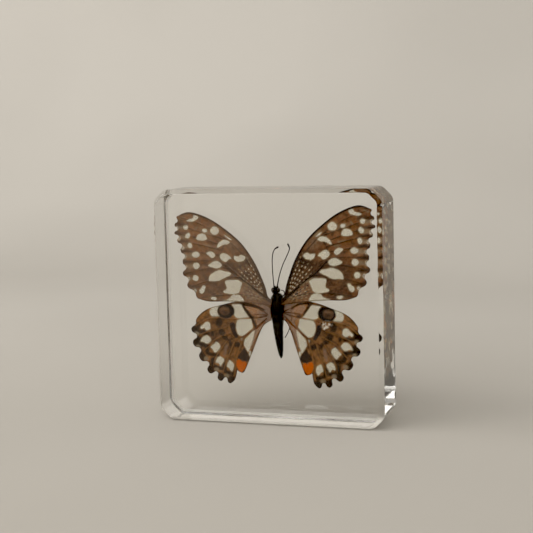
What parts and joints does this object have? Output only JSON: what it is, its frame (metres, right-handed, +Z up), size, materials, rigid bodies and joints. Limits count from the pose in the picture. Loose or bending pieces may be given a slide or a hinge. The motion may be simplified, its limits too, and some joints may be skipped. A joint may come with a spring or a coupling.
{
  "type": "insect in resin block",
  "caption": "Clear resin slab with cut corners and bevelled faces, holding a spread swallowtail butterfly that shows its upper side to the front.",
  "frame": {"origin": "middle of the slab's lower edge face, on the surface it stands on", "axes": "+X to the right and +Y to the back as seen from the front, +Z up; the butterfly's upper side faces -Y"},
  "size_m": [0.075, 0.02, 0.075],
  "materials": {
    "resin": "polished",
    "body": "matte",
    "antenna": "satin",
    "forewing": "matte",
    "hindwing": "matte"
  },
  "bodies": {
    "root": {"resin_front": "resin", "resin_back": "resin", "body": "body", "antenna_left": "antenna", "antenna_right": "antenna", "forewing_left": "forewing", "forewing_right": "forewing", "hindwing_left": "hindwing", "hindwing_right": "hindwing"}
  },
  "joints": []
}
